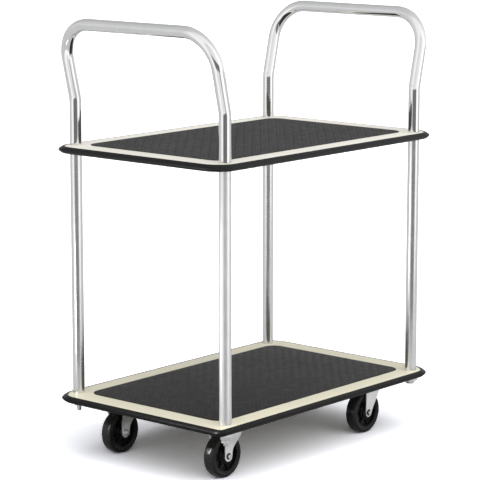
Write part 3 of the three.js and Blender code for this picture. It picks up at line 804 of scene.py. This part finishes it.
def fixed_fork(name, cx, cy, body, replaces):
    a = -FIXED_OFFSET
    s = Shape()
    plate(s, cx, cy, PLATE_BOTTOM, PLATE_TOP)
    outline = [(a + 44.5, 124.2), (a - 8.5, 124.2), (a - 8.7, 105), (a - 9.2, 80)]
    outline += arc(a, AXLE_Z, 10.5, 176, 336, 14)
    outline += [(a + 14.5, 56.5), (a + 22, 68), (a + 31, 82), (a + 38.5, 94), (a + 42.5, 102), (a + 44.2, 109), (a + 44.5, 116)]
    for y0, y1 in ((-LEG_IN - LEG_T, -LEG_IN), (LEG_IN, LEG_IN + LEG_T)):
        s.prism([(cx + x, z) for x, z in outline], "xz", cy + y0, cy + y1)
    # bend radius where each leg leaves the plate
    for sign in (-1, 1):
        fil = [(0, 0)] + [(3.2 - 3.2 * math.sin(math.radians(t)), -(3.2 - 3.2 * math.cos(math.radians(t)))) for t in range(0, 91, 15)]
        sec = [(cy + sign * (LEG_IN + LEG_T - 0.1 + u), PLATE_BOTTOM + 0.1 + w) for u, w in fil]
        s.rings([[(cx + a - 8.3, p, q) for p, q in sec], [(cx + a + 44.3, p, q) for p, q in sec]], cap0=True, cap1=True)
    return s.make(name, ZINC, body, replaces, "zinc_plated_steel", angle=40, bevel=0.4, segments=2)


def swivel_plate(name, cx, cy, replaces):
    s = Shape()
    plate(s, cx, cy, PLATE_BOTTOM, PLATE_TOP)
    s.lathe(
        [(7, 124.5), (31.5, 124.4), (30.5, 123.6), (28.6, 122.9), (27.0, 121.9), (26.0, 120.6), (24.6, 120.3), (23.2, 120.6), (22.6, 121.6), (7, 121.9)],
        at=(cx, cy, 0), n=56, loop=True,
    )
    return s.make(name, SHADED_ZINC, "frame", replaces, "zinc_plated_steel", angle=40)


def race(name, cx, cy, replaces):
    """Ring of balls between the two races."""
    s = Shape()
    for k in range(20):
        t = 2 * math.pi * k / 20
        x, y = cx + 21.2 * math.cos(t), cy + 21.2 * math.sin(t)
        s.lathe(
            [(2.0 * math.sin(math.radians(b)), 118.9 - 1.6 * math.cos(math.radians(b))) for b in range(0, 181, 20)],
            at=(x, y, 0), n=12,
        )
    s.lathe([(9.2, 117.3), (18.6, 117.3), (18.6, 119.9), (9.2, 119.9)], at=(cx, cy, 0), n=48, loop=True)
    return s.make(name, BOLT, "frame", replaces, "zinc_plated_steel", angle=40)


def king_pin(name, cx, cy, replaces):
    s = Shape()
    s.lathe([(0, 126.6), (8.0, 126.6), (8.9, 126.0), (9.0, 124.1), (5.0, 123.9), (5.0, 113.0), (0, 113.0)], at=(cx, cy, 0), n=40)
    s.lathe([(0, 113.5), (10.4, 113.5), (10.8, 113.2), (10.8, 112.3), (10.4, 112.0), (0, 112.0)], at=(cx, cy, 0), n=40)
    hexagon(s, 15.0, 112.0, 107.0, cx, cy, chamfer=0.9)
    s.lathe([(0, 112.0), (5.0, 112.0), (5.0, 106.6), (4.2, 105.8), (0, 105.6)], at=(cx, cy, 0), n=32)
    return s.make(name, BOLT, "frame", replaces, "zinc_plated_steel", angle=32)


def axle(corner, cx, cy, sy, body):
    leg = LEG_IN + LEG_T + 0.3
    o = sy  # heads face outwards
    s = Shape()
    # washer face, hexagon head with chamfered corners
    s.lathe([(0, cy + o * (leg - 0.2)), (7.4, cy + o * (leg - 0.2)), (7.6, cy + o * (leg + 0.2)), (7.4, cy + o * (leg + 0.7)), (0, cy + o * (leg + 0.7))], "y", (cx, 0, AXLE_Z), 40, mat=1)
    hexagon(s, 10.0, cy + o * (leg + 0.6), cy + o * (leg + 4.5), cx, AXLE_Z, axis="y", chamfer=0.8, turn=0.2)
    s.lathe([(0, cy + o * leg), (4, cy + o * leg), (4, cy - o * leg), (0, cy - o * leg)], "y", (cx, 0, AXLE_Z), 32)
    thread(s, 4.0, cy - o * leg, cy - o * (leg + 7.5), cx, AXLE_Z, axis="y", pitch=1.0)
    s.make(corner + "_axle_screw", [BOLT, CORE], body, [corner + "_axle_bolt"], "zinc_plated_steel", angle=32)
    s = Shape()
    hexagon(s, 13.0, cy - o * leg, cy - o * (leg + 4.6), cx, AXLE_Z, axis="y", chamfer=0.8, turn=0.5)
    s.lathe([(0, cy - o * (leg + 4.4)), (6.0, cy - o * (leg + 4.4)), (5.9, cy - o * (leg + 5.5)), (5.2, cy - o * (leg + 6.0)), (4.4, cy - o * (leg + 6.0)), (4.4, cy - o * (leg + 4.4))], "y", (cx, 0, AXLE_Z), 40)
    s.make(corner + "_lock_nut", BOLT, body, [corner + "_axle_nut"], "zinc_plated_steel", angle=32)


def wheel(corner, cx, cy, body):
    at = (cx, cy, AXLE_Z)
    n = 112
    # tyre: smooth tread, rounded shoulders, a raised ring on each side
    prof = [
        (38.0, 13.0), (39.2, 13.1), (40.0, 13.4), (40.6, 13.85), (41.6, 14.0), (44.6, 14.0), (45.6, 13.9), (46.6, 13.55),
        (47.7, 12.8), (48.6, 11.7), (49.3, 10.2), (49.75, 8.4), (49.95, 6.2), (50.0, 3.2),
    ]
    s = Shape()
    s.lathe([(r, h) for r, h in prof[8:]] + [(r, -h) for r, h in reversed(prof[8:])], "y", at, n)
    # the sidewalls take the darker copy: painted shade
    s.lathe([(r, -h) for r, h in reversed(prof[:9])] + prof[:9], "y", at, n, mat=1)
    s.make(corner + "_smooth_tyre", [TYRE, WALL_PAINTED_SHADE], body, [corner + "_tyre"], "tyre", angle=50)
    s = Shape()
    one = [(7.0, 15.2), (13.8, 15.3), (14.8, 15.0), (15.3, 14.2), (15.6, 10.6), (17.6, 10.4), (18.4, 9.8), (18.8, 8.6), (19.2, 4.0), (20.2, 3.0), (32.6, 3.0), (33.6, 3.8), (34.4, 10.8), (34.9, 12.0), (35.8, 12.5), (37.9, 12.5)]
    s.lathe(one + [(r, -h) for r, h in reversed(one)], "y", at, 96, loop=True)
    ribs = 8
    for k in range(ribs):
        t = 2 * math.pi * (k + 0.35) / ribs
        c, q = math.cos(t), math.sin(t)
        for side in (-1, 1):
            sec = []
            for r, h, w in ((18.0, 8.0, 1.3), (34.2, 5.6, 1.3)):
                ring = [(-w, 2.6), (-w + 0.35, h - 0.5), (-w + 0.8, h), (w - 0.8, h), (w - 0.35, h - 0.5), (w, 2.6)]
                sec.append([(cx + r * c - u * q, cy + side * v, AXLE_Z + r * q + u * c) for u, v in ring])
            s.rings(sec, cap0=True, cap1=True)
    s.make(corner + "_ribbed_wheel", CORE, body, [corner + "_wheel_core"], "wheel_core", angle=36)


for corner, (sx, sy) in CORNERS.items():
    cy = sy * CASTOR_Y
    if sx < 0:
        cx, body = SWIVEL_X, corner + "_swivel"
        swivel_fork(corner + "_pressed_fork", cx, cy, body, [corner + "_swivel_fork"])
        swivel_plate(corner + "_top_plate", cx, cy, [corner + "_swivel_plate"])
        race(corner + "_balls", cx, cy, [corner + "_ball_race"])
        king_pin(corner + "_pivot_bolt", cx, cy, [corner + "_king_pin"])
        ax = cx - TRAIL
    else:
        cx, body = FIXED_X, "frame"
        fixed_fork(corner + "_rigid_fork", cx, cy, body, [corner + "_fixed_fork"])
        ax = cx - FIXED_OFFSET
    axle(corner, ax, cy, sy, body)
    wheel(corner, ax, cy, corner + "_wheel")


# castor studs with their nuts, on the strip inside the cross channel
for name, cx in (("front_stud_rail", SWIVEL_X), ("rear_stud_rail", FIXED_X)):
    lo, hi = (mm(v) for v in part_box(name))
    s = Shape()
    s.rings(
        [[(cx + px, py, z) for px, py, z in rrect(47 + o, CASTOR_Y + 36 + o, 4 + o, zz, 4)] for o, zz in ((-0.4, hi[2] - 2.2), (0, hi[2] - 1.8), (0, hi[2] - 0.4), (-0.4, hi[2]))],
        cap0=True, cap1=True,
    )
    for side in (-1, 1):
        for a in (-1, 1):
            for b in (-1, 1):
                x, y = cx + a * 37, side * CASTOR_Y + b * 26
                s.lathe([(0, 130.0), (4.0, 130.0), (4.0, 119.2), (3.2, 117.7), (0, 117.7)], at=(x, y, 0), n=20)
                s.lathe([(0, 123.7), (7.9, 123.7), (8.1, 123.4), (8.1, 122.7), (7.9, 122.5), (0, 122.5)], at=(x, y, 0), n=32)
                hexagon(s, 13.0, 122.5, 118.5, x, y, chamfer=0.7, turn=rng.random())
    s.make(name.replace("stud_rail", "studs_and_nuts"), BOLT, "frame", [name], "zinc_plated_steel", angle=32)

# ---------------------------------------------------------------- CAD nodes that stay
for name, ob in frame["nodes"].items():
    if ob.hide_render:
        continue
    m = PAINT if "channel" in name else ZINC
    ob.data.materials.clear()
    ob.data.materials.append(m)
    if "channel" in name:
        b = ob.modifiers.new("edge", "BEVEL")
        b.width, b.segments, b.limit_method = 0.0006, 2, "ANGLE"
        b.angle_limit = math.radians(40)

# ---------------------------------------------------------------- camera
cam_data = bpy.data.cameras.new("camera")
cam = bpy.data.objects.new("camera", cam_data)
scene.collection.objects.link(cam)
scene.camera = cam
cam_data.sensor_fit = "HORIZONTAL"
cam_data.sensor_width = 36.0
cam_data.lens = 166.947
th, pitch = 0.86077, 0.17654
c, q = math.cos(th), math.sin(th)
cam.location = (-3.87024, -3.30148, 1.38665)
look = Vector((q * math.cos(pitch), c * math.cos(pitch), -math.sin(pitch)))
cam.rotation_mode = "QUATERNION"
cam.rotation_quaternion = look.to_track_quat("-Z", "Y")
cam_data.clip_start, cam_data.clip_end = 0.1, 200.0

# ---------------------------------------------------------------- floor
away = Vector((q, c, 0))
right = Vector((c, -q, 0))


def floor_paint():
    k = Nodes("floor_white")
    n = k.noise(3.0, 3.0, 0.5)
    lit = k.mix(k.span(n, 0.3, 0.7, 0.0, 1.0), (1.480, 1.492, 1.570), (1.500, 1.512, 1.590))
    dim = k.mix(k.span(n, 0.3, 0.7, 0.0, 1.0), (0.20, 0.20, 0.20), (0.21, 0.21, 0.21))
    mirrored = k.mix(k.span(n, 0.3, 0.7, 0.0, 1.0), (0.62, 0.62, 0.62), (0.63, 0.63, 0.63))
    path = k.new("ShaderNodeLightPath")
    dim = k.mix(path.outputs["Is Glossy Ray"], dim, mirrored)
    d = k.new("ShaderNodeBsdfDiffuse")
    k.link(k.mix(path.outputs["Is Camera Ray"], dim, lit), d.inputs["Color"])
    k.link(d.outputs[0], k.out.inputs[0])
    return k.mat


s = [away * a + right * b for a, b in ((-0.95, -16), (-0.95, 16), (40, 16), (40, -16))]
me = bpy.data.meshes.new("studio_floor")
me.from_pydata([tuple(p) for p in s], [], [(0, 1, 2, 3)])
floor = bpy.data.objects.new("studio_floor", me)
scene.collection.objects.link(floor)
me.materials.append(floor_paint())

# ---------------------------------------------------------------- light
world = bpy.data.worlds.new("studio")
scene.world = world
world.use_nodes = True
t = world.node_tree
t.nodes.clear()
out = t.nodes.new("ShaderNodeOutputWorld")
lp = t.nodes.new("ShaderNodeLightPath")
seen, env, fill = (t.nodes.new("ShaderNodeBackground") for _ in range(3))
seen.inputs[1].default_value = 1.05
m1, m2 = t.nodes.new("ShaderNodeMixShader"), t.nodes.new("ShaderNodeMixShader")
t.links.new(lp.outputs["Is Glossy Ray"], m1.inputs[0])
t.links.new(fill.outputs[0], m1.inputs[1])
t.links.new(env.outputs[0], m1.inputs[2])
t.links.new(lp.outputs["Is Camera Ray"], m2.inputs[0])
t.links.new(m1.outputs[0], m2.inputs[1])
t.links.new(seen.outputs[0], m2.inputs[2])
t.links.new(m2.outputs[0], out.inputs[0])
for n in (seen, env, fill):
    n.inputs[0].default_value = (1, 1, 1, 1)
co = t.nodes.new("ShaderNodeTexCoord").outputs["Generated"]


def wmath(op, a, b=None, clamp=False):
    n = t.nodes.new("ShaderNodeMath")
    n.operation = op
    n.use_clamp = clamp
    for i, v in enumerate((a, b)):
        if v is None:
            continue
        if isinstance(v, (int, float)):
            n.inputs[i].default_value = v
        else:
            t.links.new(v, n.inputs[i])
    return n.outputs[0]


def wdot(vec):
    n = t.nodes.new("ShaderNodeVectorMath")
    n.operation = "DOT_PRODUCT"
    t.links.new(co, n.inputs[0])
    n.inputs[1].default_value = vec
    return n.outputs["Value"]


def wstep(v, e0, e1):
    n = t.nodes.new("ShaderNodeMapRange")
    n.interpolation_type = "SMOOTHSTEP"
    n.inputs["From Min"].default_value = e0
    n.inputs["From Max"].default_value = e1
    t.links.new(v, n.inputs["Value"])
    return n.outputs["Result"]


turn = math.radians(4)
toward = -away * math.cos(turn) + right * math.sin(turn)
facing = wdot(toward)
side = wdot(right)
height = wdot((0, 0, 1))
# what bright metal mirrors: pale walls at the sides, a duller ceiling and far
# wall, and the unlit end of the room low down behind the camera
wall = wmath("ADD", 0.98, wmath("MULTIPLY", side, 0.17))
wall = wmath("SUBTRACT", wall, wmath("MULTIPLY", wstep(facing, -0.2, -0.95), 0.30))
wall = wmath("SUBTRACT", wall, wmath("MULTIPLY", wstep(height, 0.15, 0.85), 0.20))
panel = wmath("MULTIPLY", wstep(facing, 0.05, 0.40), wstep(facing, 0.86, 0.70))
wall = wmath("ADD", wall, wmath("MULTIPLY", panel, 0.34))
low = wmath("MULTIPLY", wstep(height, -0.01, -0.05), wstep(height, -0.42, -0.32))
dark = wmath("MULTIPLY", wstep(facing, 0.72, 0.88), low)
t.links.new(wmath("MULTIPLY", wall, wmath("SUBTRACT", 1.0, wmath("MULTIPLY", dark, 0.80))), env.inputs[1])
# light on everything else: a wide soft ceiling, weaker towards the horizon
slant = math.radians(20)
key = (away * -math.cos(slant) + right * math.sin(slant)) * math.cos(math.radians(52)) + Vector((0, 0, math.sin(math.radians(52))))
dome = wmath("MULTIPLY", wstep(wdot(key), 0.27, 0.98), 2.30)
dome = wmath("MULTIPLY", dome, wmath("ADD", 0.40, wmath("MULTIPLY", wstep(height, 0.0, 0.45), 0.60)))
above = wstep(height, -0.02, 0.02)
t.links.new(wmath("ADD", wmath("MULTIPLY", above, wmath("ADD", dome, 0.09)), wmath("MULTIPLY", wmath("SUBTRACT", 1.0, above), 0.28)), fill.inputs[1])


def area(name, loc, target, size, power):
    d = bpy.data.lights.new(name, "AREA")
    d.shape = "RECTANGLE"
    d.size, d.size_y = size
    d.energy = power
    o = bpy.data.objects.new(name, d)
    scene.collection.objects.link(o)
    o.location = loc
    o.rotation_mode = "QUATERNION"
    o.rotation_quaternion = (Vector(target) - Vector(loc)).to_track_quat("-Z", "Y")
    return o


# tall narrow lamp seen only as a glint on the near tyre
glint = area("glint_lamp", (-0.80, 0.226, 0.28), (-0.32, -0.165, 0.07), (0.012, 0.26), 1.1)
for flag in ("visible_camera", "visible_diffuse", "visible_transmission", "visible_volume_scatter"):
    setattr(glint, flag, False)

# small lamp seen only as a glint on the strip at the near corner
corner_glint = area("corner_glint_lamp", (-0.865, -0.153, 0.244), (-0.385, -0.245, 0.140), (0.06, 0.03), 14.0)
for flag in ("visible_camera", "visible_diffuse", "visible_transmission", "visible_volume_scatter"):
    setattr(corner_glint, flag, False)
only_strip = bpy.data.collections.new("corner_glint_receivers")
for o in scene.objects:
    if o.name.startswith("lower_edge_bumper"):
        only_strip.objects.link(o)
corner_glint.light_linking.receiver_collection = only_strip

scene.view_settings.view_transform = "Standard"
scene.view_settings.look = "None"
